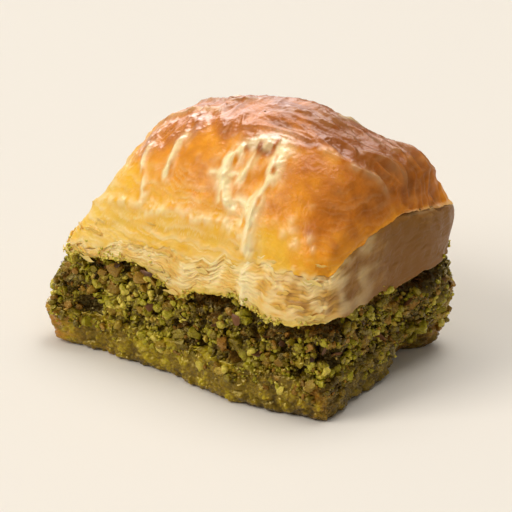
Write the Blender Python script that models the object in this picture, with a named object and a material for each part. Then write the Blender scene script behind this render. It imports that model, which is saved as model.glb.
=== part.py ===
"""Pistachio baklava, one oblong piece as it is cut from the tray.

Three solids lie on each other: the syrup-soaked base pastry, the chopped pistachio filling and the
puffed top pastry. Metres, +Z up, the long cut side along X, the origin in the middle of the flat
underside.
"""

import math

import bmesh
import bpy
from mathutils import Vector, noise

# Driving sizes
LENGTH = 0.0494
DEPTH = 0.0336
HEIGHT = 0.0390
BASE_HEIGHT = 0.0065
GAP = 0.0003

# Heights at the corners front left, front right, back left and back right
FILLING_TOP_CORNERS = (0.0145, 0.0163, 0.0155, 0.0167)
RIM_CORNERS = (0.0200, 0.0248, 0.0256, 0.0256)

# How far the rim arches up between the corners of each side
ARCH_FRONT, ARCH_BACK, ARCH_LEFT, ARCH_RIGHT = 0.0016, 0.0022, 0.0016, 0.0036

# Rounding of the corners back right, back left, front left and front right
CORNER_RADII = (0.0030, 0.0035, 0.0025, 0.0048)
FOOT_ROUNDING = 0.0007
FILLING_INSET = 0.0006

# The top pastry narrows and slides as it rises, and its cut sides belly out
PASTRY_TAPER = 0.05
PASTRY_SLIDE = Vector((0.0013, 0.0014))
PASTRY_BELLY = 0.0005

# The crease under the top sheet at the right-hand end
SPLIT_DEPTH = 0.0008
SPLIT_SHARE = 0.82

# Unevenness: how far it moves the surface, and the size of its waves
BASE_WAVE, BASE_WAVE_SIZE = 0.0004, 0.0090
EDGE_WAVE, EDGE_WAVE_SIZE = 0.0005, 0.0110
CRUMB_RELIEF, CRUMB_SIZE = 0.0009, 0.0032
PUFF_RELIEF, PUFF_SIZE = 0.0006, 0.0080

# The dome falls off to the left, right, front and back by these powers, its crown a little to the back
POWER_LEFT, POWER_RIGHT = 2.6, 3.4
POWER_FRONT, POWER_BACK = 2.1, 2.4
DOME_FULLNESS = 0.8
CROWN_BACK = 0.05

# Towards the right-hand end the dome turns into a gable, which falls off front and back by this power
GABLE_START, GABLE_LENGTH = 0.35, 0.60
GABLE_POWER = 1.5

# Broad swellings and hollows of the top sheet: centre in plan, radius and height
SWELLINGS = (
    ((0.0156, -0.0076), 0.0056, 0.0007),
    ((0.0204, 0.0046), 0.0046, 0.0010),
    ((0.0195, 0.0110), 0.0046, 0.0018),
    ((0.0040, 0.0070), 0.0065, 0.0012),
    ((-0.0100, 0.0060), 0.0060, -0.0005),
    ((-0.0190, 0.0040), 0.0050, 0.0007),
)

# Where the cut sides stand out or fall back: place, radius and distance
BULGES = (
    ((0.0252, 0.0070, 0.0226), 0.0060, 0.0011),
    ((0.0250, 0.0145, 0.0240), 0.0060, 0.0013),
    ((0.0249, -0.0169, 0.0195), 0.0050, -0.0017),
    ((0.0250, -0.0095, 0.0225), 0.0045, -0.0009),
    ((0.0250, 0.0095, 0.0125), 0.0060, 0.0025),
    ((0.0250, 0.0165, 0.0090), 0.0060, 0.0020),
    ((0.0250, -0.0060, 0.0010), 0.0060, -0.0013),
    ((0.0249, 0.0085, 0.0005), 0.0052, -0.0034),
    ((-0.0249, -0.0169, 0.0086), 0.0045, 0.0026),
    ((-0.0249, -0.0169, 0.0026), 0.0048, 0.0018),
    ((0.0070, -0.0169, 0.0010), 0.0060, 0.0015),
)

# Creases of the thin top sheet: start and end in plan, half width and height
FOLDS = (
    ((0.0098, -0.0160), (0.0062, -0.0040), 0.0019, 0.0011),
    ((0.0028, -0.0150), (0.0015, -0.0030), 0.0018, 0.0008),
    ((-0.0080, -0.0150), (-0.0062, -0.0060), 0.0018, 0.0007),
    ((0.0110, 0.0030), (0.0215, 0.0045), 0.0019, 0.0009),
    ((-0.0190, 0.0040), (-0.0100, 0.0020), 0.0018, 0.0007),
    ((-0.0020, 0.0150), (-0.0005, 0.0070), 0.0018, 0.0008),
    ((-0.0125, 0.0145), (-0.0100, 0.0070), 0.0018, 0.0006),
    ((0.0120, 0.0150), (0.0100, 0.0080), 0.0018, 0.0007),
)

# Mesh resolution
CORNER_STEPS = 4
SOFT_LAYER_SPACING = 0.0017
PASTRY_SPACING = 0.0013
INTERFACE_SCALES = (0.14, 0.36, 0.60, 0.80)
DOME_RINGS = 13


def blend(start, end, share):
    """The value at this share of the way from start to end."""
    return start + (end - start) * share


def smooth_step(share):
    """0 below 0, 1 above 1, and a smooth rise between."""
    share = min(max(share, 0.0), 1.0)
    return share * share * (3.0 - 2.0 * share)


def wave(point, size, layer=0.0):
    """Smooth unevenness from -1 to 1 whose lumps are about size across."""
    return noise.noise(Vector((point[0] / size, point[1] / size, layer)))


def corner_height(heights, x, y):
    """Height at a plan point, from the heights at the four corners."""
    right = x / LENGTH + 0.5
    back = y / DEPTH + 0.5
    front_height = blend(heights[0], heights[1], right)
    back_height = blend(heights[2], heights[3], right)
    return blend(front_height, back_height, back)


def base_top(x, y):
    """Where the base pastry ends and the filling begins."""
    return BASE_HEIGHT + BASE_WAVE * wave((x, y), BASE_WAVE_SIZE)


def filling_top(x, y):
    """Where the filling ends and the top pastry begins."""
    return corner_height(FILLING_TOP_CORNERS, x, y) + BASE_WAVE * wave((x, y), BASE_WAVE_SIZE, 3.0)


def rim_height(x, y):
    """Height at which the cut side of the top pastry turns into the dome."""
    along = (2.0 * x / LENGTH) ** 2
    across = (2.0 * y / DEPTH) ** 2
    arch = (ARCH_FRONT if y < 0.0 else ARCH_BACK) * (1.0 - along) * across
    arch += (ARCH_LEFT if x < 0.0 else ARCH_RIGHT) * (1.0 - across) * along
    return corner_height(RIM_CORNERS, x, y) + arch + BASE_WAVE * wave((x, y), BASE_WAVE_SIZE, 5.0)


def fold_height(x, y):
    """How far the creases lift the top sheet at a plan point."""
    lift = 0.0
    point = Vector((x, y))
    for start, end, half_width, height in FOLDS:
        along = Vector(end) - Vector(start)
        share = (point - Vector(start)).dot(along) / along.length_squared
        nearest = Vector(start) + along * min(max(share, 0.0), 1.0)
        distance = (point - nearest).length / half_width
        lift += height * math.exp(-distance * distance)
    return lift


def hill(point, centre, radius):
    """A round hill of height 1 about the centre."""
    distance = (Vector(point) - Vector(centre)).length / radius
    return math.exp(-distance * distance)


def bulge(point):
    """How far the cut sides stand out at a place."""
    return sum(distance * hill(point, centre, radius) for centre, radius, distance in BULGES)


def dome_height(x, y):
    """Height of the puffed top at a plan point."""
    along = 2.0 * x / LENGTH
    across = 2.0 * y / DEPTH
    across -= CROWN_BACK * (1.0 - across * across)
    fall_x = 1.0 - min(abs(along), 1.0) ** (POWER_RIGHT if along > 0.0 else POWER_LEFT)
    gable = smooth_step((along - GABLE_START) / GABLE_LENGTH)
    power = blend(POWER_BACK if across > 0.0 else POWER_FRONT, GABLE_POWER, gable)
    fall_y = 1.0 - min(abs(across), 1.0) ** power
    fall = (fall_x * fall_y) ** DOME_FULLNESS
    puff = PUFF_RELIEF * wave((x, y), PUFF_SIZE, 7.0) - PUFF_RELIEF
    swelling = sum(height * hill((x, y), centre, radius) for centre, radius, height in SWELLINGS)
    lift = (puff + fold_height(x, y) + swelling) * smooth_step(2.0 * fall)
    return blend(rim_height(x, y), HEIGHT, fall) + lift


def slide(point, share):
    """Where a plan point of the top pastry stands at this share of its cut side's height."""
    return point * (1.0 - PASTRY_TAPER * share) + PASTRY_SLIDE * share


def outline(spacing):
    """Plan points of the rounded rectangle, counter-clockwise, about this far apart on its sides."""
    arcs = []
    for quarter, radius in enumerate(CORNER_RADII):
        side_x = 1 if quarter in (0, 3) else -1
        side_y = 1 if quarter in (0, 1) else -1
        centre = Vector((side_x * (LENGTH / 2 - radius), side_y * (DEPTH / 2 - radius)))
        angles = [(quarter + step / CORNER_STEPS) * math.pi / 2 for step in range(CORNER_STEPS + 1)]
        arcs.append([centre + radius * Vector((math.cos(a), math.sin(a))) for a in angles])
    points = []
    for arc, next_arc in zip(arcs, arcs[1:] + arcs[:1]):
        side = next_arc[0] - arc[-1]
        steps = max(1, round(side.length / spacing))
        points += arc
        points += [arc[-1] + side * (step / steps) for step in range(1, steps)]
    return points


def outward(points):
    """Unit plan direction out of the outline at each of its points."""
    directions = []
    for before, after in zip(points[-1:] + points[:-1], points[1:] + points[:1]):
        along = (after - before).normalized()
        directions.append(Vector((along.y, -along.x)))
    return directions


def side_ring(points, offset, height, bulging=1.0):
    """A ring on a cut side with a share of its bulges. Offset and height are functions of the plan point."""
    ring = []
    for point, direction in zip(points, outward(points)):
        level = height(point)
        moved = point + direction * (offset(point) + bulging * bulge((point.x, point.y, level)))
        ring.append(Vector((moved.x, moved.y, level)))
    return ring


def layer_ring(points, scale, height):
    """A ring across a layer: the outline shrunk to this scale, at the height of its plan points."""
    return [Vector((p.x * scale, p.y * scale, height(p.x * scale, p.y * scale))) for p in points]


def loft(name, rings, colour, roughness):
    """A closed solid through the rings, with its first and last ring filled."""
    mesh = bmesh.new()
    first = bmesh.ops.create_circle(mesh, cap_ends=True, segments=len(rings[0]), radius=LENGTH / 2)
    ring = first["verts"]
    for vertex, point in zip(ring, rings[0]):
        vertex.co = point
    for points in rings[1:]:
        edges = [mesh.edges.get(pair) for pair in zip(ring, ring[1:] + ring[:1])]
        made = bmesh.ops.extrude_edge_only(mesh, edges=edges)
        new = {item for item in made["geom"] if isinstance(item, bmesh.types.BMVert)}
        risers = {vertex: [edge.other_vert(vertex) for edge in vertex.link_edges] for vertex in ring}
        ring = [next(other for other in risers[vertex] if other in new) for vertex in ring]
        for vertex, point in zip(ring, points):
            vertex.co = point
    bmesh.ops.contextual_create(mesh, geom=[mesh.edges.get(pair) for pair in zip(ring, ring[1:] + ring[:1])])
    bmesh.ops.poke(mesh, faces=[face for face in mesh.faces if len(face.verts) == len(ring)])
    if mesh.calc_volume(signed=True) < 0.0:
        bmesh.ops.reverse_faces(mesh, faces=mesh.faces)
    return add_object(name, mesh, colour, roughness)


def add_object(name, mesh, colour, roughness):
    """Puts a finished bmesh into the scene as a smooth-shaded object with its own material."""
    data = bpy.data.meshes.new(name)
    mesh.to_mesh(data)
    mesh.free()
    data.shade_smooth()
    material = bpy.data.materials.new(name)
    material.use_nodes = True
    shader = material.node_tree.nodes["Principled BSDF"]
    shader.inputs["Base Color"].default_value = (*colour, 1.0)
    shader.inputs["Roughness"].default_value = roughness
    shader.inputs["Metallic"].default_value = 0.0
    data.materials.append(material)
    solid = bpy.data.objects.new(name, data)
    bpy.context.scene.collection.objects.link(solid)
    return solid


def edge_wave(layer):
    """Slow in-and-out wander of a cut side, as a function of the plan point."""
    return lambda p: EDGE_WAVE * wave(p, EDGE_WAVE_SIZE, layer)


def make_base():
    """Compressed, syrup-soaked leaves with a flat underside and slightly rounded foot."""
    points = outline(SOFT_LAYER_SPACING)
    wander = edge_wave(11.0)
    heights = (FOOT_ROUNDING, 0.4 * BASE_HEIGHT, 0.8 * BASE_HEIGHT)
    rings = [side_ring(points, lambda p: wander(p) - FOOT_ROUNDING, lambda p: 0.0)]
    rings += [side_ring(points, wander, lambda p, z=z: z) for z in heights]
    rings.append(side_ring(points, lambda p: wander(p) - GAP, lambda p: base_top(p.x, p.y)))
    rings += [layer_ring(points, scale, base_top) for scale in reversed(INTERFACE_SCALES)]
    return loft("base_pastry", rings, (0.24, 0.16, 0.02), 0.3)


def make_filling():
    """Chopped pistachios, packed into one lumpy bed out to their uneven outline."""
    points = outline(SOFT_LAYER_SPACING)
    rings = [layer_ring(points, scale, lambda x, y: base_top(x, y) + GAP) for scale in INTERFACE_SCALES]
    for share, tuck in ((0.0, 0.0006), (0.2, 0.0), (0.4, 0.0), (0.6, 0.0), (0.8, 0.0), (1.0, 0.0008)):

        def lumps(p, share=share, tuck=tuck):
            return CRUMB_RELIEF * wave(p, CRUMB_SIZE, 20.0 + 3.0 * share) - FILLING_INSET - tuck

        def height(p, share=share):
            return blend(base_top(p.x, p.y) + GAP, filling_top(p.x, p.y), share)

        rings.append(side_ring(points, lumps, height))
    rings += [layer_ring(points, scale, filling_top) for scale in reversed(INTERFACE_SCALES)]
    return loft("pistachio_filling", rings, (0.16, 0.13, 0.02), 0.55)


def make_top():
    """Puffed leaves: an upright cut side all round, and a creased dome above it."""
    points = outline(PASTRY_SPACING)
    wander = edge_wave(30.0)
    rings = [layer_ring(points, scale, lambda x, y: filling_top(x, y) + GAP) for scale in INTERFACE_SCALES]
    for share in (0.0, 0.12, 0.35, 0.60, SPLIT_SHARE, 0.95):

        def belly(p, share=share):
            at_right = smooth_step(8.0 * (p.x / LENGTH - 0.36))
            split = SPLIT_DEPTH * at_right if share == SPLIT_SHARE else 0.0
            return wander(p) + PASTRY_BELLY * math.sin(math.pi * share) - split

        def height(p, share=share):
            return blend(filling_top(p.x, p.y) + GAP, rim_height(p.x, p.y), share)

        ring = side_ring(points, belly, height, 1.0 - share ** 3)
        rings.append([slide(p.xy, share).to_3d() + Vector((0.0, 0.0, p.z)) for p in ring])
    for ring in range(1, DOME_RINGS):
        scale = math.cos(math.pi / 2 * ring / DOME_RINGS)
        level = layer_ring(points, scale, dome_height)
        rings.append([slide(p.xy, 1.0).to_3d() + Vector((0.0, 0.0, p.z)) for p in level])
    return loft("top_pastry", rings, (0.62, 0.27, 0.06), 0.35)


def main():
    """Clears the scene and stacks the three layers of the piece."""
    for stale in list(bpy.data.objects):
        bpy.data.objects.remove(stale)
    make_base()
    make_filling()
    make_top()


main()
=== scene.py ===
"""Looks of one piece of pistachio baklava.

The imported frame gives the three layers. This add-on replaces each of them with its real surface: the
browned top sheet with its creases, the cut edges of the pastry leaves, the chopped nuts and the
syrup-soaked base. Lengths are metres, and lists of places are millimetres.
"""

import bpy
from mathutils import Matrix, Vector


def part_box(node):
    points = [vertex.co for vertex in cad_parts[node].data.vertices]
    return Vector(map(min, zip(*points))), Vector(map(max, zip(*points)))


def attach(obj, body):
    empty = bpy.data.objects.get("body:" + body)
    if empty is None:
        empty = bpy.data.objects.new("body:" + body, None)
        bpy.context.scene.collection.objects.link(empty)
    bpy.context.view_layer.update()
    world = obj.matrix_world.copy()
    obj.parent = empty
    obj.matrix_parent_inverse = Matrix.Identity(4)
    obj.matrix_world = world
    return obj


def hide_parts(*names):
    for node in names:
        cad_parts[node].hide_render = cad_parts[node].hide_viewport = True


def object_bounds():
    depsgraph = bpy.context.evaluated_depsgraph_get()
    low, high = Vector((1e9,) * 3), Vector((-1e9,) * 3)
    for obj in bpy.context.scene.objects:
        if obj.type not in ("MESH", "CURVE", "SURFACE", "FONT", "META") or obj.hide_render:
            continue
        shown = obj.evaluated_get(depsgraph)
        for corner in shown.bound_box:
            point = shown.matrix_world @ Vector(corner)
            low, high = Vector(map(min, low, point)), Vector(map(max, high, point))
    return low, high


bl_info = {
    "name": "Pistachio Baklava Piece",
    "version": (1, 0, 0),
    "blender": (4, 5, 0),
    "location": "3D View > Sidebar > Baklava",
    "description": "Builds the flaky, browned and nutty surfaces of one piece of baklava, and its stage",
    "category": "Object",
}

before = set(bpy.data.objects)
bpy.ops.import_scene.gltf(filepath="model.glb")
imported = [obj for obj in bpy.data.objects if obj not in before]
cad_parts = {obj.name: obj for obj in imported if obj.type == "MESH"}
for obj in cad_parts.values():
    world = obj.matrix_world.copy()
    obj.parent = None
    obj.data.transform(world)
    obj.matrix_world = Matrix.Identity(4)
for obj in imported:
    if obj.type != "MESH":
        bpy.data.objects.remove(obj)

import itertools
import math
import random

import bmesh
import bpy
import numpy as np
from bpy.props import FloatProperty, FloatVectorProperty, IntProperty, PointerProperty
from mathutils import Matrix, Vector, noise

MM = 0.001
CAD_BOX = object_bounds()
TOP_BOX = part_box("top_pastry")

# The outline of the piece: half sizes, corner rounding, and the wander of its cut sides
EDGE_WAVE, EDGE_WAVE_SIZE = 0.5 * MM, 11.0 * MM
HALF_LENGTH, HALF_DEPTH = 24.7 * MM, 16.85 * MM
RADIUS_FRONT_LEFT, RADIUS_FRONT_RIGHT = 2.5 * MM, 4.8 * MM
RADIUS_BACK_LEFT, RADIUS_BACK_RIGHT = 3.5 * MM, 3.0 * MM
CORNER_PULL = 1.0 - math.sqrt(0.5)
CORNER_TURN = 9

# Heights at the corners front left, front right, back left and back right
BASE_HEIGHT = 6.5 * MM
FILLING_TOP_CORNERS = (14.5 * MM, 16.3 * MM, 15.5 * MM, 16.7 * MM)
RIM_CORNERS = (20.0 * MM, 24.8 * MM, 25.6 * MM, 25.6 * MM)
RIM_ARCHES = {"front": 1.6 * MM, "back": 2.2 * MM, "left": 1.6 * MM, "right": 3.6 * MM}
CROWN_HEIGHT = TOP_BOX[1].z - 0.5 * MM

# The puffed top: how it falls off to each side, and how the pastry narrows and slides as it rises
POWER_LEFT, POWER_RIGHT = 2.6, 3.4
POWER_FRONT, POWER_BACK = 2.1, 2.4
GABLE_POWER = 1.5
DOME_FULLNESS = 0.8
CROWN_BACK = 0.05
PASTRY_TAPER = 0.05
PASTRY_SLIDE = np.array((1.3 * MM, 1.4 * MM))
PASTRY_BELLY = 0.5 * MM

# A reach of 0 is the crown and 1 the rim. Beyond 1 it runs down the cut side, this far for each whole
WALL_UNIT = 17.0 * MM
RIM_SOFTNESS = 0.8 * MM

# Creases of the top sheet: plan points, half width, height, and how pale the crest is
FOLDS = (
    (((8.7, -5.4), (9.3, -8.3), (8.9, -10.6), (8.4, -12.2), (8.9, -13.9), (9.6, -16.0)), 0.70, 0.60, 1.0),
    (((7.6, -3.0), (5.0, -4.2), (2.6, -6.0), (1.2, -8.0), (1.4, -9.6), (2.6, -11.1), (4.9, -12.0)), 0.85, 0.50, 1.0),
    (((4.2, -4.9), (6.2, -4.4), (8.4, -4.7)), 0.90, 0.15, 1.0),
    (((7.0, -3.6), (5.2, -5.9), (4.6, -7.9), (4.2, -9.8)), 0.50, 0.35, 0.9),
    (((-0.8, -9.4), (1.8, -9.6), (3.6, -8.8)), 0.40, 0.20, 0.8),
    (((2.2, -11.6), (5.2, -11.4), (8.2, -11.8)), 0.60, 0.25, 0.9),
    (((9.0, -9.6), (7.4, -11.0), (7.2, -13.0)), 0.60, 0.30, 0.8),
    (((-8.2, -5.4), (-8.9, -8.3), (-8.6, -10.8)), 0.45, 0.55, 1.0),
    (((-14.6, -5.6), (-13.6, -9.0), (-11.4, -12.4)), 0.45, 0.55, 0.9),
    (((-22.8, -11.0), (-17.2, -12.6), (-13.6, -12.9), (-10.4, -13.0)), 0.50, 0.45, 0.6),
    (((-10.4, -13.6), (-5.2, -13.0), (-1.0, -13.6), (4.0, -13.4), (9.6, -14.2)), 0.60, 0.25, 0.7),
    (((13.2, -1.6), (16.0, -0.9), (18.4, -0.2), (21.0, 0.8), (23.8, 1.8)), 0.40, 0.45, 0.2),
    (((3.4, 2.6), (8.0, 3.6), (12.7, 3.6), (15.6, 4.8)), 0.45, 0.40, 0.1),
    (((6.0, 6.2), (11.0, 5.8), (16.5, 7.4), (20.5, 8.2)), 0.55, 0.45, 0.1),
    (((16.2, 9.0), (19.4, 10.2), (23.4, 11.0)), 0.60, 0.45, 0.1),
    (((15.0, 12.2), (18.8, 13.6), (22.6, 14.6)), 0.60, 0.40, 0.1),
    (((17.0, 2.6), (20.2, 4.4), (23.6, 5.4)), 0.50, 0.40, 0.1),
    (((-1.0, 4.6), (-5.8, 3.8), (-10.4, 5.6), (-15.0, 6.4)), 0.50, 0.45, 0.2),
    (((-6.0, 0.2), (-10.6, 0.4), (-16.6, 1.2), (-21.0, 1.4)), 0.55, 0.45, 0.4),
    (((-18.6, -2.0), (-20.8, -3.4), (-23.2, -3.8)), 0.50, 0.40, 0.7),
    (((-17.0, 9.4), (-20.0, 10.2), (-23.0, 12.6)), 0.55, 0.45, 0.7),
    (((-4.0, 15.6), (-3.4, 11.6), (-1.8, 8.8)), 0.55, 0.55, 0.9),
    (((4.8, 15.6), (4.2, 12.2), (2.8, 9.6)), 0.55, 0.50, 0.9),
    (((-12.6, 14.8), (-11.0, 11.4), (-9.2, 9.2)), 0.55, 0.50, 0.8),
    (((11.6, 15.4), (10.4, 12.0), (9.8, 9.6)), 0.55, 0.45, 0.8),
)

# Broad swellings and hollows of the top: plan centre, radius and height
SWELLINGS = (
    ((15.6, -7.6), 5.6, 0.7),
    ((20.4, 4.6), 4.6, 1.0),
    ((20.0, 11.5), 4.6, 1.8),
    ((22.5, 13.5), 4.0, 0.7),
    ((23.0, 8.5), 4.5, 1.0),
    ((4.0, 7.0), 6.5, 1.2),
    ((-10.0, 6.0), 6.0, -0.5),
    ((-3.6, -9.0), 4.2, 0.4),
    ((-11.4, -8.8), 2.4, 0.5),
    ((-19.0, 4.0), 5.0, 0.7),
    ((-17.6, -9.4), 3.6, 0.4),
    ((6.9, -9.2), 1.7, -0.5),
    ((-1.6, -13.0), 3.4, 0.4),
)

# Bubbles that stand close together near the front right corner, their paleness partly a painted highlight: plan points
BLISTERS = ((15.1, -11.5), (14.6, -12.9), (18.8, -12.2), (20.0, -13.0), (16.9, -13.2), (15.9, -12.2))

# Bulges and hollows of the cut sides: place, radius and how far they stand out
BULGES = (
    ((25.2, 7.0, 22.6), 6.0, 1.1),
    ((25.0, 14.5, 24.0), 6.0, 1.3),
    ((24.9, -16.9, 19.5), 5.0, -1.7),
    ((25.2, 9.0, 29.5), 4.5, 0.4),
    ((25.0, -9.5, 22.5), 4.5, -0.9),
    ((25.0, 9.5, 12.5), 6.0, 2.5),
    ((25.0, 16.5, 9.0), 6.0, 2.0),
    ((25.0, -6.0, 1.0), 6.0, -1.3),
    ((24.9, 8.5, 0.5), 5.2, -3.8),
    ((-24.9, -16.9, 8.6), 4.5, 2.8),
    ((-24.9, -16.9, 2.6), 4.8, 1.9),
    ((7.0, -16.9, 1.0), 6.0, 1.5),
    ((-12.0, -16.9, 9.5), 4.5, 0.5),
    ((6.0, -16.9, 9.0), 3.5, 0.6),
)

# How far the top pastry's lower edge lifts above the filling's mean top, by place along the front
FRONT_HEM = ((-25, 0.9), (-18, 1.5), (-12.2, 2.2), (-8.2, 1.7), (-4.4, 0.2), (-1.5, -1.2), (0.6, 0.2), (2.6, 0.8),
             (7.2, 1.3), (10.0, 0.8), (12.2, 0.3), (14.2, -0.7), (17.0, -0.7), (20.0, -0.3), (25, 0.0))

# Hollows between the filling and the top pastry, where the filling is painted dark as shade: plan points, half length
# along the side, and openness
HOLLOWS = (
    ((-17.5, -16.9), 2.2, 0.5),
    ((-3.8, -16.9), 1.8, 0.8),
    ((3.6, -16.9), 4.2, 1.2),
    ((15.6, -16.9), 6.0, 1.4),
    ((24.9, -13.5), 5.0, 1.3),
    ((24.9, 8.5), 5.2, 1.0),
    ((8.0, 16.9), 6.0, 0.9),
    ((-13.0, 16.9), 5.0, 0.8),
    ((-24.9, 3.0), 5.0, 0.8),
)

# Skins and candied bits that stand out on the front: place, width, height and tone
SHOWN_SKINS = (((9.1, -17.4, 14.0), 1.6, 2.8, 0.9), ((-7.6, -17.2, 16.8), 2.6, 1.2, 0.5))

# Where the sheen side of the crown begins, as plan points from left to right
CROWN_EDGE = ((-20.0, -7.0), (-14.0, -7.8), (-9.1, -7.2), (-4.7, -4.2), (0.6, -4.6), (3.4, -6.2), (6.2, -6.0),
              (8.4, -3.2), (13.2, -0.8), (24.0, 1.8))

# Tables of the noise: a shuffle of cell numbers, a slope for each and a place within each
DICE = np.random.default_rng(7)
SHUFFLE = DICE.permutation(256)
SLOPES = DICE.normal(size=(256, 3))
SLOPES /= np.linalg.norm(SLOPES, axis=1)[:, None]
PLACES = DICE.random((256, 3))
SHADES = DICE.random(256)
LAYER_STEP = np.array((31.7, 57.3, 91.1))


def blend(start, end, share):
    """The value at this share of the way from start to end."""
    return start + (end - start) * share


def smooth_step(share):
    """0 below 0, 1 above 1, and a smooth rise between."""
    share = np.clip(share, 0.0, 1.0)
    return share * share * (3.0 - 2.0 * share)


def cell_key(cells):
    """A number from 0 to 255 for each whole-number place."""
    key = SHUFFLE[cells[:, 0] & 255]
    key = SHUFFLE[(cells[:, 1] + key) & 255]
    return SHUFFLE[(cells[:, 2] + key) & 255]


def wave(points, size, layer=0.0):
    """Smooth unevenness from about -1 to 1 at each point, in lumps about size across."""
    spots = points / size + layer * LAYER_STEP
    cells = np.floor(spots).astype(int)
    part = spots - cells
    fade = part ** 3 * (part * (part * 6.0 - 15.0) + 10.0)
    total = np.zeros(len(spots))
    for corner in itertools.product((0, 1), repeat=3):
        weight = np.prod(np.where(corner, fade, 1.0 - fade), axis=1)
        total += weight * ((part - corner) * SLOPES[cell_key(cells + corner)]).sum(1)
    return 1.6 * total


def ridges(points, size, layer=0.0):
    """Sharp crests among rounded hollows, from about -1 to 1."""
    return 1.0 - 2.6 * np.abs(wave(points, size, layer))


def pebbles(points, size, layer=0.0):
    """Packed lumps about size across: height from 0 at their seams to 1, and each lump's own number."""
    spots = points / size + layer * LAYER_STEP
    cells = np.floor(spots).astype(int)
    nearest = np.full(len(spots), 9.0)
    second = np.full(len(spots), 9.0)
    number = np.zeros(len(spots))
    for step in itertools.product((-1, 0, 1), repeat=3):
        key = cell_key(cells + step)
        gap = np.linalg.norm(cells + step + PLACES[key] - spots, axis=1)
        closer = gap < nearest
        second = np.where(closer, nearest, np.minimum(second, gap))
        number = np.where(closer, SHADES[key], number)
        nearest = np.where(closer, gap, nearest)
    return np.clip(second - nearest, 0.0, 1.0), number


def hill(points, centre, radius):
    """A round hill of height 1: its height at each point, for a centre and a radius in millimetres."""
    gap = points - np.asarray(centre) * MM
    return np.exp(-(gap * gap).sum(1) / (radius * MM) ** 2)


def on_ring(turn):
    """Square coordinates on the outline at each share of the way round, from the front left corner."""
    steps = np.cumsum((0.0, HALF_LENGTH, HALF_DEPTH, HALF_LENGTH, HALF_DEPTH))
    turn = np.mod(turn, 1.0) * steps[-1]
    return np.interp(turn, steps, (-1, 1, 1, -1, -1)), np.interp(turn, steps, (-1, -1, 1, 1, -1))


def corner_height(heights, a, b):
    """Height at square coordinates a, b, from the heights at the four corners."""
    right, back = (a + 1.0) / 2, (b + 1.0) / 2
    return blend(blend(heights[0], heights[1], right), blend(heights[2], heights[3], right), back)


def plan(a, b):
    """Plan points of square coordinates a and b from -1 to 1, with the outline's corners rounded."""
    front = np.where(a > 0.0, RADIUS_FRONT_RIGHT, RADIUS_FRONT_LEFT)
    back = np.where(a > 0.0, RADIUS_BACK_RIGHT, RADIUS_BACK_LEFT)
    pull = CORNER_PULL * np.where(b > 0.0, back, front) * (a * b) ** 8
    return np.column_stack((a * (HALF_LENGTH - pull), b * (HALF_DEPTH - pull)))


def outward(a, b):
    """Unit plan directions out of the outline at square coordinates on it."""
    away = np.column_stack((a ** CORNER_TURN, b ** CORNER_TURN))
    return away / np.linalg.norm(away, axis=1)[:, None]


def lift_to(flat, height):
    """Points in space from plan points and heights."""
    return np.column_stack((flat, np.broadcast_to(height, len(flat))))


def filling_top(a, b):
    """Mean height of the filling's top."""
    return corner_height(FILLING_TOP_CORNERS, a, b)


def hem_height(a, b):
    """Height of the top pastry's ragged lower edge."""
    flat = lift_to(plan(a, b), 0.0)
    places, lifts = np.array(FRONT_HEM).T
    front = np.interp(flat[:, 0] / MM, places, lifts) * MM * smooth_step((-b - 0.85) / 0.15)
    elsewhere = 1.1 * MM * wave(flat, 8.0 * MM, 3.0) * smooth_step((b + 1.0) / 0.3)
    ragged = 0.45 * MM * wave(flat, 2.2 * MM, 5.0) + 0.25 * MM * wave(flat, 0.9 * MM, 6.0)
    return filling_top(a, b) + front + elsewhere + ragged


def rim_height(a, b):
    """Height at which the cut side turns into the dome."""
    along = np.where(b < 0.0, RIM_ARCHES["front"], RIM_ARCHES["back"]) * (1.0 - a * a) * b * b
    across = np.where(a < 0.0, RIM_ARCHES["left"], RIM_ARCHES["right"]) * (1.0 - b * b) * a * a
    return corner_height(RIM_CORNERS, a, b) + along + across


def dome_height(a, b):
    """Height of the smooth puffed top at square coordinates."""
    gable = smooth_step((a - 0.35) / 0.6)
    across = b - CROWN_BACK * (1.0 - b * b)
    power_y = blend(np.where(across > 0.0, POWER_BACK, POWER_FRONT), GABLE_POWER, gable)
    fall_x = 1.0 - np.minimum(np.abs(a), 1.0) ** np.where(a > 0.0, POWER_RIGHT, POWER_LEFT)
    fall_y = 1.0 - np.minimum(np.abs(across), 1.0) ** power_y
    return blend(rim_height(a, b), CROWN_HEIGHT, (fall_x * fall_y) ** DOME_FULLNESS)


def slide(flat, share):
    """Where plan points of the top pastry stand at this share of its cut side's height."""
    share = np.broadcast_to(share, len(flat))[:, None]
    return flat * (1.0 - PASTRY_TAPER * share) + PASTRY_SLIDE * share


def bulge(points):
    """How far the cut sides stand out at each point."""
    return sum(height * MM * hill(points, centre, radius) for centre, radius, height in BULGES)


def surface(a, b, reach):
    """Points of the smooth top pastry, from the crown out to the outline at a, b and down its cut side."""
    away = outward(a, b)
    edge = plan(a, b)
    sway = EDGE_WAVE * wave(lift_to(edge, 0.0), EDGE_WAVE_SIZE, 30.0)
    inner = np.minimum(reach, 1.0)
    dome = slide(plan(a * inner, b * inner), 1.0) + away * (sway * inner ** 6)[:, None]
    rim, foot = rim_height(a, b), filling_top(a, b)
    height = rim - (reach - 1.0) * WALL_UNIT
    share = (height - foot) / (rim - foot)
    belly = sway + PASTRY_BELLY * np.sin(math.pi * np.clip(share, 0.0, 1.0))
    wall = slide(edge + away * belly[:, None], share)
    on_wall = reach > 1.0
    flat = np.where(on_wall[:, None], wall, dome)
    points = lift_to(flat, np.where(on_wall, height, dome_height(a * inner, b * inner)))
    points[:, :2] += away * (bulge(points) * smooth_step((reach - 0.9) / 0.1))[:, None]
    soft = RIM_SOFTNESS * smooth_step((a - 0.8) / 0.2) * np.exp(-(((reach - 1.0) / 0.08) ** 2))
    points[:, :2] -= 0.8 * away * soft[:, None]
    points[:, 2] -= soft
    return points


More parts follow.
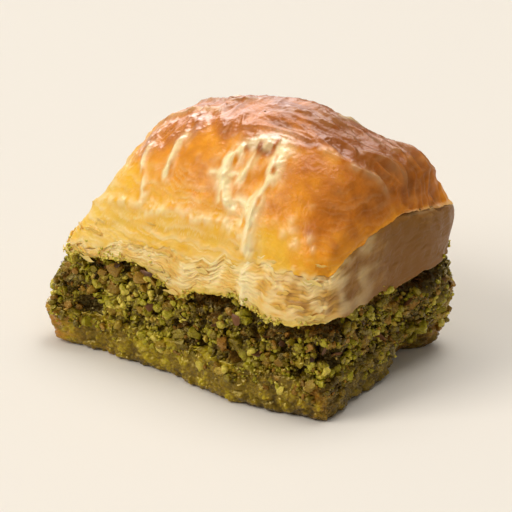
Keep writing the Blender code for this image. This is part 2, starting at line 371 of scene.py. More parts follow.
def lay_on_dome(flat):
    """Points on the smooth dome above plan points."""
    square = (flat - PASTRY_SLIDE) / (1.0 - PASTRY_TAPER) / (HALF_LENGTH, HALF_DEPTH)
    a, b = np.clip(square, -1.0, 1.0).T
    return lift_to(flat, dome_height(a, b))


def crust_reach(a, b):
    """Reach at which the browned sheet ends, raggedly."""
    flat = lift_to(plan(a, b), 0.0)
    ragged = 1.6 * MM * wave(flat, 5.0 * MM, 4.0) + 0.9 * MM * wave(flat, 1.7 * MM, 6.0) + 0.3 * MM * wave(flat, 0.7 * MM, 7.0)
    right = smooth_step((a - 0.93) / 0.07)
    near_corner = smooth_step((a - 0.35) / 0.4) * smooth_step((-b - 0.8) / 0.2)
    drop = blend(2.6 * MM, 1.1 * MM, np.maximum(right, near_corner))
    return 1.0 + (drop + blend(1.0, 0.45, right) * ragged) / WALL_UNIT


# ------------------------------------------------------------------------------------------ mesh helpers


def read_points(data):
    """Vertex places of a mesh as an array."""
    values = np.empty(len(data.vertices) * 3)
    data.vertices.foreach_get("co", values)
    return values.reshape(-1, 3)


def write_points(data, points):
    """Moves the vertices of a mesh."""
    data.vertices.foreach_set("co", np.ascontiguousarray(points, dtype=np.float32).ravel())
    data.update()


def read_normals(data):
    """Vertex normals of a mesh as an array."""
    values = np.empty(len(data.vertices) * 3)
    data.vertices.foreach_get("normal", values)
    return values.reshape(-1, 3)


def set_values(data, name, values):
    """Stores one number for each vertex under this attribute name."""
    layer = data.attributes.get(name) or data.attributes.new(name, "FLOAT", "POINT")
    layer.data.foreach_set("value", np.ascontiguousarray(values, dtype=np.float32))


def grid_data(name, columns, rows):
    """A mesh of a flat grid from -1 to 1, and its vertex places."""
    mesh = bmesh.new()
    bmesh.ops.create_grid(mesh, x_segments=columns, y_segments=rows, size=1.0)
    data = bpy.data.meshes.new(name)
    mesh.to_mesh(data)
    mesh.free()
    return data, read_points(data)


def wrap_grid(name, columns, rows, shape):
    """A body wrapped round the piece: shape gives points and values for each turn and row number."""
    data, square = grid_data(name, columns, rows)
    turn = (square[:, 0] + 1.0) / 2
    row = np.rint((square[:, 1] + 1.0) / 2 * rows).astype(int)
    points, values = shape(turn, row)
    write_points(data, points)
    for key, numbers in values.items():
        set_values(data, key, numbers)
    mesh = bmesh.new()
    mesh.from_mesh(data)
    bpy.data.meshes.remove(data)
    mesh.verts.ensure_lookup_table()
    seam = [mesh.verts[index] for index in np.flatnonzero((turn < 1e-6) | (turn > 1.0 - 1e-6))]
    bmesh.ops.remove_doubles(mesh, verts=seam, dist=1e-7)
    close_holes(mesh)
    return mesh


def close_holes(mesh):
    """Fills every open rim with a fan of faces."""
    rims = [edge for edge in mesh.edges if edge.is_boundary]
    made = bmesh.ops.holes_fill(mesh, edges=rims, sides=0)
    bmesh.ops.poke(mesh, faces=made["faces"])


def close_under(mesh, thickness, inset):
    """Gives an open sheet an edge of this thickness, and closes it underneath."""
    mesh.normal_update()
    for step in range(3):
        rim = [edge for edge in mesh.edges if edge.is_boundary]
        made = bmesh.ops.extrude_edge_only(mesh, edges=rim)
        grown = {item for item in made["geom"] if isinstance(item, bmesh.types.BMVert)}
        for vertex in grown:
            old = next(edge.other_vert(vertex) for edge in vertex.link_edges if edge.other_vert(vertex) not in grown)
            flat = Vector((old.co.x, old.co.y, 0.0)).normalized()
            if step == 0:
                vertex.co = old.co - flat * 0.25 * thickness - Vector((0.0, 0.0, 0.5 * thickness))
            else:
                vertex.co = old.co - flat * (thickness if step == 1 else inset) + Vector((0.0, 0.0, 0.2 * thickness))
    rims = [edge for edge in mesh.edges if edge.is_boundary]
    made = bmesh.ops.holes_fill(mesh, edges=rims, sides=0)
    bmesh.ops.triangulate(mesh, faces=made["faces"])


def finish_piece(name, mesh, material, node, sharp=None):
    """Makes an outward-facing, smooth-shaded object of the mesh that stands for a node of the frame."""
    if mesh.calc_volume(signed=True) < 0.0:
        bmesh.ops.reverse_faces(mesh, faces=mesh.faces)
    data = bpy.data.meshes.new(name)
    mesh.to_mesh(data)
    mesh.free()
    data.shade_smooth()
    if sharp:
        data.set_sharp_from_angle(angle=math.radians(sharp))
    data.materials.append(material)
    piece = bpy.data.objects.new(name, data)
    bpy.context.scene.collection.objects.link(piece)
    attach(piece, "root")
    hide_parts(node)
    return piece


# ---------------------------------------------------------------------------------------------- materials


def new_material(name):
    """A material with an empty node tree, its Principled BSDF and its output."""
    material = bpy.data.materials.new(name)
    material.use_nodes = True
    return material, material.node_tree.nodes["Principled BSDF"]


def add_node(tree, kind, **values):
    """Adds a node and sets its properties, or its input sockets by name."""
    node = tree.nodes.new(kind)
    for key, value in values.items():
        if key in node.inputs.keys():
            node.inputs[key].default_value = value
        else:
            setattr(node, key, value)
    return node


def colour_ramp(tree, stops):
    """A ramp through (place, colour) stops."""
    ramp = add_node(tree, "ShaderNodeValToRGB")
    elements = ramp.color_ramp.elements
    while len(elements) < len(stops):
        elements.new(0.5)
    for element, (place, colour) in zip(elements, stops):
        element.position = place
        element.color = (*colour, 1.0)
    return ramp


def grain_group():
    """Shader group: fine unevenness at two sizes, as a height and as a mask."""
    name = "syrup grain"
    if name in bpy.data.node_groups:
        return bpy.data.node_groups[name]
    tree = bpy.data.node_groups.new(name, "ShaderNodeTree")
    tree.interface.new_socket("Coarse Scale", in_out="INPUT", socket_type="NodeSocketFloat").default_value = 900.0
    tree.interface.new_socket("Fine Scale", in_out="INPUT", socket_type="NodeSocketFloat").default_value = 3500.0
    tree.interface.new_socket("Height", in_out="OUTPUT", socket_type="NodeSocketFloat")
    tree.interface.new_socket("Mask", in_out="OUTPUT", socket_type="NodeSocketFloat")
    inside = add_node(tree, "NodeGroupInput")
    outside = add_node(tree, "NodeGroupOutput")
    place = add_node(tree, "ShaderNodeTexCoord")
    coarse = add_node(tree, "ShaderNodeTexNoise", Detail=4.0, Roughness=0.6)
    fine = add_node(tree, "ShaderNodeTexNoise", Detail=2.0, Roughness=0.5)
    both = add_node(tree, "ShaderNodeMath", operation="MULTIPLY_ADD")
    both.inputs[1].default_value = 0.35
    tree.links.new(place.outputs["Object"], coarse.inputs["Vector"])
    tree.links.new(place.outputs["Object"], fine.inputs["Vector"])
    tree.links.new(inside.outputs["Coarse Scale"], coarse.inputs["Scale"])
    tree.links.new(inside.outputs["Fine Scale"], fine.inputs["Scale"])
    tree.links.new(fine.outputs["Fac"], both.inputs[0])
    tree.links.new(coarse.outputs["Fac"], both.inputs[2])
    tree.links.new(both.outputs[0], outside.inputs["Height"])
    tree.links.new(coarse.outputs["Fac"], outside.inputs["Mask"])
    return tree


def add_grain(tree, shader, coarse_scale, fine_scale, depth, roughness):
    """Places the grain group: its height bumps the surface and its mask varies the roughness."""
    grain = add_node(tree, "ShaderNodeGroup", node_tree=grain_group())
    grain.inputs["Coarse Scale"].default_value = coarse_scale
    grain.inputs["Fine Scale"].default_value = fine_scale
    bump = add_node(tree, "ShaderNodeBump", Strength=1.0, Distance=depth)
    rough = add_node(tree, "ShaderNodeMapRange")
    rough.inputs["From Min"].default_value = 0.3
    rough.inputs["From Max"].default_value = 0.7
    rough.inputs["To Min"].default_value = roughness[0]
    rough.inputs["To Max"].default_value = roughness[1]
    tree.links.new(grain.outputs["Height"], bump.inputs["Height"])
    tree.links.new(bump.outputs["Normal"], shader.inputs["Normal"])
    tree.links.new(bump.outputs["Normal"], shader.inputs["Coat Normal"])
    tree.links.new(grain.outputs["Mask"], rough.inputs["Value"])
    tree.links.new(rough.outputs["Result"], shader.inputs["Roughness"])


def set_moist(tree, shader, coat, coat_roughness, specular, glow, radius):
    """Syrup film on top, from thin to thick as the glaze attribute says, and light passing through beneath."""
    glaze = add_node(tree, "ShaderNodeAttribute", attribute_name="glaze")
    film = add_node(tree, "ShaderNodeMapRange")
    film.inputs["To Min"].default_value = coat[0]
    film.inputs["To Max"].default_value = coat[1]
    tree.links.new(glaze.outputs["Fac"], film.inputs["Value"])
    tree.links.new(film.outputs["Result"], shader.inputs["Coat Weight"])
    shader.inputs["Coat Roughness"].default_value = coat_roughness
    shader.inputs["Coat IOR"].default_value = 1.5
    shader.inputs["Specular IOR Level"].default_value = specular
    shader.inputs["Subsurface Weight"].default_value = glow
    shader.inputs["Subsurface Radius"].default_value = radius
    shader.inputs["Subsurface Scale"].default_value = MM


def stained_material(name, stops, stain, spots, grain, moist, tint=(1.0, 1.0, 1.0)):
    """Material coloured by a ramp over the tone attribute and noise, and stained where the mask attribute says."""
    material, shader = new_material(name)
    tree = material.node_tree
    value = add_node(tree, "ShaderNodeAttribute", attribute_name="tone")
    mask = add_node(tree, "ShaderNodeAttribute", attribute_name="mask")
    place = add_node(tree, "ShaderNodeTexCoord")
    patches = add_node(tree, "ShaderNodeTexNoise", Scale=spots[0], Detail=5.0, Roughness=0.65)
    centred = add_node(tree, "ShaderNodeMath", operation="SUBTRACT")
    centred.inputs[1].default_value = 0.5
    total = add_node(tree, "ShaderNodeMath", operation="MULTIPLY_ADD")
    total.inputs[1].default_value = spots[1]
    ramp = colour_ramp(tree, stops)
    mix = add_node(tree, "ShaderNodeMix", data_type="RGBA")
    colour_b = next(socket for socket in mix.inputs if socket.name == "B" and socket.type == "RGBA")
    colour_a = next(socket for socket in mix.inputs if socket.name == "A" and socket.type == "RGBA")
    colour_b.default_value = (*stain, 1.0)
    result = next(socket for socket in mix.outputs if socket.type == "RGBA")
    tree.links.new(place.outputs["Object"], patches.inputs["Vector"])
    tree.links.new(patches.outputs["Fac"], centred.inputs[0])
    tree.links.new(centred.outputs[0], total.inputs[0])
    tree.links.new(value.outputs["Fac"], total.inputs[2])
    tree.links.new(total.outputs[0], ramp.inputs["Fac"])
    tree.links.new(ramp.outputs["Color"], colour_a)
    tree.links.new(mask.outputs["Fac"], mix.inputs["Factor"])
    tree.links.new(result, shader.inputs["Base Color"])
    add_grain(tree, shader, *grain)
    set_moist(tree, shader, *moist)
    shader.inputs["Specular Tint"].default_value = (*tint, 1.0)
    return material


# --------------------------------------------------------------------------------------------- top pastry


def fold_lift(points):
    """Lift of each point by the creases, and how pale their crests make it."""
    shift = [0.5 * wave(points, 3.4 * MM, 20.0 + axis) + 0.12 * wave(points, 1.1 * MM, 25.0 + axis) for axis in range(3)]
    warped = points + np.column_stack(shift) * MM
    strength = 0.85 + 0.35 * wave(points, 3.2 * MM, 33.0)
    frayed = smooth_step(0.85 + 1.2 * wave(points * (1.0, 0.35, 0.45), 0.9 * MM, 35.0))
    lift = np.zeros(len(points))
    pale = np.zeros(len(points))
    for line, half_width, height, paleness in FOLDS:
        steps = np.linspace(0, len(line) - 1, 5 * (len(line) - 1) + 1)
        flat = np.column_stack([np.interp(steps, range(len(line)), axis) for axis in zip(*line)]) * MM
        route = lay_on_dome(flat)
        distance = np.full(len(points), 1.0)
        for start, end in zip(route, route[1:]):
            along = end - start
            share = np.clip(((warped - start) @ along) / (along @ along), 0.0, 1.0)
            distance = np.minimum(distance, np.linalg.norm(warped - start - share[:, None] * along, axis=1))
        ends = np.minimum(np.linalg.norm(points - route[0], axis=1), np.linalg.norm(points - route[-1], axis=1))
        fade = 0.25 + 0.75 * smooth_step(ends / (3.0 * half_width * MM))
        across = distance / (1.5 * half_width * MM)
        crest = np.exp(-1.3 * across ** 1.3) - 0.12 * np.exp(-((across - 2.0) ** 2))
        lift += 1.3 * height * MM * fade * strength * crest
        spread = 0.6 * np.exp(-((across / 1.6) ** 2)) + 0.6 * np.exp(-((across / 0.8) ** 2))
        pale = np.maximum(pale, paleness * np.clip(strength + 0.1, 0.0, 1.0) * spread * frayed)
    lift += 0.09 * MM * pale * ridges(points * (1.0, 0.5, 0.5), 0.7 * MM, 37.0)
    return lift, np.clip(pale, 0.0, 1.0)


def blister_lift(points, count):
    """Small bubbles in the sheet: their lift, and how pale their rims are; on the listed bubbles the paleness is partly
    a painted highlight.
    """
    dice = random.Random(5)
    lift = np.zeros(len(points))
    pale = np.zeros(len(points))
    shift = np.column_stack([0.4 * MM * wave(points, 1.1 * MM, 36.0 + axis) for axis in range(3)])
    # The listed bubbles are made paler: partly their own colour, partly a painted highlight.
    spots = [(x, y, dice.uniform(0.5, 0.9), dice.uniform(0.14, 0.26), 0.6) for x, y in BLISTERS]
    for _ in range(count):
        x, y = dice.uniform(-23.0, 23.0), dice.uniform(-15.5, 15.5)
        spots.append((x, y, dice.uniform(0.4, 0.9), dice.uniform(0.04, 0.10), dice.uniform(0.0, 0.3)))
    for x, y, radius, height, paleness in spots:
        centre = lay_on_dome(np.array([(x, y)]) * MM)[0]
        across = np.linalg.norm(points + shift - centre, axis=1) / (radius * MM)
        lift += height * MM * np.exp(-across ** 2.4)
        pale = np.maximum(pale, 0.7 * paleness * np.exp(-across ** 2))
    return lift, pale


def crown_share(points, reach):
    """1 on the flat, crumpled crown and 0 on the slopes."""
    across, back = zip(*CROWN_EDGE)
    edge = np.interp(points[:, 0] / MM, across, back) * MM + 1.1 * MM * wave(points, 3.0 * MM, 40.0)
    return smooth_step((points[:, 1] - edge) / (2.8 * MM) + 0.5) * (1.0 - smooth_step((reach - 0.72 + 0.10 * smooth_step(points[:, 0] / MM / 8.0)) / 0.25))


def sheet_relief(points, reach, crown, smooth):
    """Fine unevenness of the thin sheet, how far its lower leaves overlap, and how pale their lips are."""
    x, y, z = points.T
    left, right = points * (1.0, 0.34, 0.8), points * (0.26, 1.0, 0.8)
    side = smooth_step(x / (9.0 * MM) + 0.3)
    crumple = 0.26 * blend(ridges(left, 2.8 * MM, 1.0), ridges(right, 2.6 * MM, 2.0), side)
    crumple += 0.15 * blend(ridges(left, 1.3 * MM, 3.0), ridges(right, 1.2 * MM, 4.0), side)
    crumple += 0.05 * ridges(points, 0.65 * MM, 5.0)
    crumple *= 1.0 - 0.6 * smooth
    low = smooth_step((reach - 0.52) / 0.42) * (1.0 - 0.85 * smooth_step((x - 9.0 * MM) / (4.0 * MM)))
    level = z + 1.1 * MM * wave(points * (1.0, 1.0, 0.5), 5.5 * MM, 8.0)
    level += 0.40 * MM * wave(points, 1.8 * MM, 9.0) + 0.12 * MM * wave(points, 0.7 * MM, 10.0)
    lips = np.zeros(len(points))
    pale = np.zeros(len(points))
    for spacing, depth, layer in ((1.75, 0.26, 15.0), (0.72, 0.10, 16.0)):
        step = np.floor(level / (spacing * MM))
        part = level / (spacing * MM) - step
        spot = np.column_stack((points[:, :2] / (4.0 * MM), 0.83 * step))
        present = smooth_step(0.55 + 1.3 * wave(spot, 1.0, layer)) * low
        lips += depth * present * ((1.0 - part) ** 1.6 - 0.3) * smooth_step(part / 0.3)
        pale = np.maximum(pale, present * np.exp(-((part - 0.10) / 0.22) ** 2))
    slope = 0.17 * wave(points, 3.8 * MM, 11.0) + 0.09 * wave(points, 1.6 * MM, 12.0)
    slope += 0.035 * ridges(points, 0.75 * MM, 13.0) + lips
    slope += 0.36 * gable_share(points) * ridges(points * (0.22, 1.0, 0.6), 1.5 * MM, 14.0)
    return MM * blend(slope, crumple, crown), low, pale


def gable_share(points):
    """1 on the slope behind the ridge at the right end, browner partly by its own baking and partly by painted shade,
    and 0 elsewhere.
    """
    across, back = points[:, 0] / MM, points[:, 1] / MM
    ridge = np.interp(across, (9.0, 13.0, 18.0, 22.0, 25.0), (1.0, -0.9, -0.2, 1.3, 2.6))
    return smooth_step((back - ridge + 0.5 * wave(points, 2.0 * MM, 45.0)) / 1.4) * smooth_step((across - 8.0) / 5.0)


def crust_tone(points, crown, lift):
    """How browned the sheet is: most on the crown and to the right, least low on the front and left. The extra brown to
    the right and behind the right-hand ridge is partly real browning and partly painted shade of the sides turned from
    the key light.
    """
    x, y, z = points.T
    high = smooth_step((z / MM - 22.5 + 1.4 * wave(points, 5.0 * MM, 41.0)) / 9.5)
    # Painted shade in part: the right end and the slope behind its ridge face away from the key light and are made
    # browner.
    right = smooth_step((x / MM - 14.5) / 7.5)
    behind = gable_share(points)
    value = 0.14 + 0.46 * high + crown * (0.18 + 0.12 * smooth_step((y / MM + 2.0) / 6.0)) + 0.30 * right * (1.0 - 0.5 * behind) + 0.24 * behind
    value -= 0.12 * smooth_step((-x / MM - 8.0) / 12.0)
    value += 0.20 * hill(points, (13.0, -4.5, 35.5), 4.0)
    value += 0.10 * wave(points, 4.0 * MM, 42.0) + 0.07 * wave(points, 1.5 * MM, 43.0)
    # Painted shade: the grooves of the gable's ridges and of the crown's crumples are made browner, and their crests
    # paler.
    value -= 0.13 * behind * ridges(points * (0.22, 1.0, 0.6), 1.5 * MM, 14.0)
    groove_shade = smooth_step(0.2 - ridges(points * (0.26, 1.0, 0.8), 2.6 * MM, 2.0)) * smooth_step(x / MM / 6.0)
    value += 0.30 * crown * groove_shade
    return value + 0.16 * np.clip(lift / MM, -0.6, 0.6)


def crust_mesh(settings):
    """The browned top sheet, closed underneath, with its tone and mask values."""
    columns = 370
    data, square = grid_data("crust", columns, round(columns * HALF_DEPTH / HALF_LENGTH))
    ring = np.maximum(np.abs(square[:, 0]), np.abs(square[:, 1]))
    a, b = (square[:, :2] / np.maximum(ring, 1e-6)[:, None]).T
    reach = ring * crust_reach(a, b)
    points = surface(a, b, reach)
    write_points(data, points)
    normals = read_normals(data)
    crown = crown_share(points, reach)
    folds, fold_pale = fold_lift(points)
    bubbles, bubble_pale = blister_lift(points, settings.blister_count)
    fine, low, lips = sheet_relief(points, reach, crown, fold_pale)
    lift = folds * settings.fold_depth + bubbles + fine * settings.wrinkle_depth
    swelling = np.zeros(len(points))
    for centre, radius, height in SWELLINGS:
        swelling += height * MM * hill(points, lay_on_dome(np.array([centre]) * MM)[0] / MM, radius)
    swelling *= 1.0 - smooth_step((reach - 0.95) / 0.06)
    write_points(data, points + normals * (lift + swelling)[:, None])
    streaks = smooth_step(0.45 + 1.4 * wave(points * (0.7, 0.7, 2.6), 2.4 * MM, 44.0))
    split = smooth_step((reach - 1.02) / 0.04) * smooth_step((points[:, 0] / MM - 21.0) / 3.0)
    split *= smooth_step((points[:, 1] / MM - 1.0) / 3.0)
    fringe = smooth_step((ring - 0.93) / 0.07) * smooth_step(0.4 + 1.4 * wave(points, 1.8 * MM, 47.0))
    fringe *= smooth_step((-b - 0.7) / 0.3) * (1.0 - smooth_step((a - 0.93) / 0.07))
    pale = np.maximum.reduce((fold_pale, bubble_pale, 0.16 * low * streaks + 0.42 * lips, 0.30 * split, 0.7 * fringe))
    set_values(data, "tone", crust_tone(points, crown, lift))
    set_values(data, "mask", np.clip(pale * (1.0 - 0.35 * crown), 0.0, 1.0))
    patchy = smooth_step(0.55 + 1.4 * wave(points * (0.4, 0.8, 1.0), 2.6 * MM, 46.0))
    nearness = smooth_step((2.0 - points[:, 1] / MM) / 6.0)
    gloss = crown * (0.26 + 0.74 * patchy) * (0.22 + 0.78 * nearness) * (1.0 - 0.25 * gable_share(points))
    set_values(data, "glaze", np.maximum.reduce((gloss, 0.75 * fold_pale, bubble_pale, 0.5 * lips)))
    mesh = bmesh.new()
    mesh.from_mesh(data)
    bpy.data.meshes.remove(data)
    close_under(mesh, 0.20 * MM, 2.0 * MM)
    return mesh


def leaf_share(flat, level, leaves, seed):
    """Height of leaf boundary number level as a share of the wall, with the leaves swaying."""
    slow = np.column_stack((flat / (7.0 * MM), 0.13 * level))
    quick = np.column_stack((flat / (2.0 * MM), 0.30 * level))
    fine = np.column_stack((flat / (0.9 * MM), 0.50 * level))
    sway = 1.3 * wave(slow, 1.0, seed) + 0.5 * wave(quick, 1.0, seed + 1) + 0.18 * wave(fine, 1.0, seed + 2)
    ease = smooth_step(level / 2.0) * smooth_step((leaves - level) / 2.0)
    return (level + ease * sway) / leaves


def leaf_jut(flat, level, seed):
    """How far the edge of each leaf stands out, in millimetres, and how deep the seams between them are."""
    leaf = np.floor(level)
    jut = 0.26 * wave(np.column_stack((flat / (5.0 * MM), 0.30 * leaf)), 1.0, seed)
    jut += 0.13 * wave(np.column_stack((flat / (3.0 * MM), 1.7 * leaf)), 1.0, seed + 4)
    jut += 0.07 * wave(np.column_stack((flat / (1.1 * MM), 2.9 * leaf)), 1.0, seed + 1)
    torn = wave(np.column_stack((flat / (2.4 * MM), 3.7 * leaf)), 1.0, seed + 2)
    jut -= 0.20 * smooth_step((torn - 0.25) / 0.1)
    seam = np.abs(np.mod(level + 0.5, 1.0) - 0.5) < 0.2
    return jut - seam * (0.02 + 0.08 * smooth_step(0.5 + 2.0 * wave(np.column_stack((flat / (3.0 * MM), level)), 1.0, seed + 3)))


def leaf_wall(turn, row, rows, leaves, seed):
    """Square coordinates, share of height, jut and seat of each vertex of a stack of leaf edges."""
    a, b = on_ring(turn)
    flat = plan(a, b)
    offsets = np.array((0.06, 0.34, 0.68, 0.94))
    inner = np.clip(row - 1, 0, 4 * leaves - 1)
    level = inner // 4 + offsets[inner % 4]
    return a, b, leaf_share(flat, level, leaves, seed), leaf_jut(flat, level, seed + 5) * MM, level


def top_wall(leaves):
    """The shape of the cut leaf edges below the crust, for wrap_grid."""
    rows = 4 * leaves + 1

    def shape(turn, row):
        a, b, share, jut, level = leaf_wall(turn, row, rows, leaves, 50.0)
        away = outward(a, b)
        hem = 1.0 + (rim_height(a, b) - hem_height(a, b)) / WALL_UNIT
        top = crust_reach(a, b) - 1.1 * MM / WALL_UNIT
        reach = blend(hem, top, share)
        points = surface(a, b, reach)
        under = smooth_step((crust_reach(a, b) + 0.05 * MM / WALL_UNIT - reach) * WALL_UNIT / (0.3 * MM))
        right = smooth_step((a - 0.9) / 0.1) * smooth_step((b + 1.0) / 0.45)
        out = jut * (1.0 - 0.6 * right) * (1.0 - 0.5 * under) - 0.20 * MM * under
        out += 0.16 * MM * wave(points, 2.2 * MM, 60.0)
        split = np.exp(-(((share - 0.88) / 0.03) ** 2)) * right * smooth_step((b - 0.1) / 0.3)
        out -= 0.35 * MM * split
        curl = np.exp(-share / 0.06) * (1.0 - right)
        out += 0.25 * MM * curl * wave(points, 3.0 * MM, 61.0)
        ends = np.where(row == 0, 4.0 * MM, np.where(row == rows, 3.0 * MM, 0.0))
        points[:, :2] += away * (out - ends)[:, None]
        points[:, 2] += np.where(row == 0, 0.8 * MM, 0.0)
        tail = np.exp(-(((points[:, 0] / MM - 9.8 - 0.4 * wave(points, 1.6 * MM, 64.0)) / 0.55) ** 2)) * (b < -0.9)
        points[:, :2] += away * (0.3 * MM * tail)[:, None]
        leaf = np.column_stack((plan(a, b) / (3.5 * MM), 1.3 * np.floor(level)))
        streak = smooth_step(0.45 + 1.6 * wave(leaf, 1.0, 65.0))
        seam = np.abs(np.mod(level + 0.5, 1.0) - 0.5) < 0.2
        fringe = np.exp(-((share / (0.16 + 0.10 * wave(points, 2.5 * MM, 66.0))) ** 2))
        patch = wave(points, 2.6 * MM, 62.0) + 0.6 * wave(points * (0.7, 0.7, 1.6), 1.2 * MM, 68.0)
        tone = 0.43 + 0.12 * patch - 0.14 * streak + 0.25 * jut / MM + 0.07 * seam
        # Browner to the right: partly real browning, partly painted shade of the side turned from the key light.
        tone += 0.08 * smooth_step((share - 0.55) / 0.4) + 0.30 * smooth_step((points[:, 0] / MM - 6.0) / 14.0)
        # The right wall's soft brown is partly its own colour and partly painted shade; it is browner still near its
        # foot and towards the back.
        soft = 0.94 + 0.12 * np.exp(-share / 0.3) + 0.10 * wave(points, 5.0 * MM, 63.0) + 0.10 * smooth_step((points[:, 1] / MM + 6.0) / 8.0)
        soft += 0.07 * wave(np.column_stack((plan(a, b) / (6.0 * MM), 0.75 * level)), 1.0, 67.0)
        tone = blend(tone, soft, right)
        tone = blend(tone, 0.02, 0.85 * fringe * (1.0 - 0.9 * right))
        corner = smooth_step((a - 0.9) / 0.1) * smooth_step((-b - 0.05) / 0.5)
        mask = 0.2 * split + 0.8 * tail + 0.35 * corner * smooth_step(0.2 + 1.6 * wave(points * (1.0, 0.5, 0.6), 1.6 * MM, 69.0))
        mask += 0.65 * smooth_step(0.3 - 1.2 * patch + 0.4 * streak) * (1.0 - right) * (1.0 - fringe)
        return points, {"tone": tone, "mask": np.clip(mask, 0.0, 1.0)}

    return rows, shape


def flake_variant(name, dice):
    """One torn sliver of leaf, about 1 long, gently curled."""
    mesh = bmesh.new()
    bmesh.ops.create_grid(mesh, x_segments=9, y_segments=3, size=0.5)
    layer = dice.uniform(0.0, 50.0)
    bend = dice.uniform(-0.15, 0.25)
    for vertex in mesh.verts:
        x, y = vertex.co.x, vertex.co.y
        taper = 1.0 - (2.0 * abs(x)) ** 3
        width = taper * (0.10 + 0.10 * noise.noise(Vector((4.0 * x + layer, 0.0, layer))))
        lean = 0.08 * noise.noise(Vector((3.0 * x, 0.0, layer)))
        vertex.co = Vector((x, 2.0 * y * max(width, 0.01) + lean, bend * x * x + 0.1 * y * y))
    bmesh.ops.solidify(mesh, geom=mesh.faces[:], thickness=0.025)
    bmesh.ops.recalc_face_normals(mesh, faces=mesh.faces)
    return stamp_source(name, mesh)


def stamp_source(name, mesh):
    """Turns a finished variant into a mesh that stamp can copy."""
    data = bpy.data.meshes.new(name)
    mesh.to_mesh(data)
    mesh.free()
    set_values(data, "tone", np.zeros(len(data.vertices)))
    set_values(data, "mask", np.zeros(len(data.vertices)))
    return data


def stamp(mesh, variant, matrix, tone, mask=0.0):
    """Adds a placed copy of a variant to the mesh, with its own tone."""
    copy = variant.copy()
    copy.transform(matrix)
    set_values(copy, "tone", np.full(len(copy.vertices), tone))
    set_values(copy, "mask", np.full(len(copy.vertices), mask))
    mesh.from_mesh(copy)
    bpy.data.meshes.remove(copy)


def stamp_mesh():
    """An empty mesh ready to take stamped copies."""
    mesh = bmesh.new()
    mesh.verts.layers.float.new("tone")
    mesh.verts.layers.float.new("mask")
    return mesh


def facing(away, up, spin, lean):
    """Turns a flake's flat side to face away, spun in its plane and leaning out at its lower edge."""
    side = up.cross(away).normalized()
    turned = Matrix((side, away.cross(side), away)).transposed().to_4x4()
    return turned @ Matrix.Rotation(lean, 4, "X") @ Matrix.Rotation(spin, 4, "Z")


# ------------------------------------------------------------------------------------------------ filling


def hollow_share(a, b):
    """How open the dark gap under the top pastry is, from 0 to 1."""
    flat = plan(a, b)
    opened = np.zeros(len(flat))
    for centre, half, openness in HOLLOWS:
        across = np.linalg.norm(flat - np.array(centre) * MM, axis=1) / (half * MM)
        opened = np.maximum(opened, openness * np.exp(-across ** 4))
    return np.clip(opened + 0.25 * wave(lift_to(flat, 0.0), 1.8 * MM, 70.0), 0.0, 1.0)


def filling_side(a, b, share):
    """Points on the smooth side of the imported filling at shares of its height."""
    height = blend(BASE_HEIGHT, hem_height(a, b) + 0.3 * MM, share)
    points = lift_to(plan(a, b), height)
    inset = 0.15 * MM + 0.8 * MM * smooth_step(share / 0.15 + 0.5)
    inset += 2.5 * MM * hollow_share(a, b) * smooth_step((share - 0.60) / 0.3)
    points[:, :2] += outward(a, b) * (bulge(points) - inset)[:, None]
    return points


def cavity(points):
    """How deep in a pocket between the nuts each point lies, from 0 to 1; the core is painted dark there as shade."""
    return smooth_step((wave(points, 2.9 * MM, 74.0) - 0.30) / 0.2)


def filling_shape(rows):
    """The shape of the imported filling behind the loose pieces, for wrap_grid."""

    def shape(turn, row):
        a, b = on_ring(turn)
        share = np.clip((row - 1) / (rows - 2), 0.0, 1.0)
        points = filling_side(a, b, share)
        big, number = pebbles(points, 2.1 * MM, 71.0)
        small, shade = pebbles(points, 0.85 * MM, 72.0)
        lump = 0.75 * (smooth_step(big * 2.2) - 0.5) + 0.32 * (smooth_step(small * 2.0) - 0.5) + 0.5 * (number - 0.5)
        tiny, _ = pebbles(points, 0.45 * MM, 76.0)
        pocket = cavity(points)
        lump += 0.45 * wave(points, 3.6 * MM, 73.0) + 0.14 * (smooth_step(tiny * 1.8) - 0.5) - 0.9 * pocket
        ends = np.where((row == 0) | (row == rows), 4.0 * MM, 0.0)
        points[:, :2] += outward(a, b) * (lump * MM - ends)[:, None]
        # Painted shade: the core is dark overall, darker at the seams between lumps and in the pockets, and darkest
        # under the top pastry's hollows.
        tone = 0.04 + 0.34 * smooth_step(big * 2.0) * (0.5 + 0.5 * smooth_step(small * 2.0)) + 0.25 * (number - 0.5)
        tone += 0.14 * (shade - 0.5) + 0.20 * (tiny - 0.3) - 0.35 * pocket + 0.20 * wave(points, 4.2 * MM, 75.0)
        tone -= 0.6 * hollow_share(a, b) * smooth_step((share - 0.55) / 0.2)
        return points, {"tone": tone, "mask": 0.4 * (number > 0.86)}

    return shape


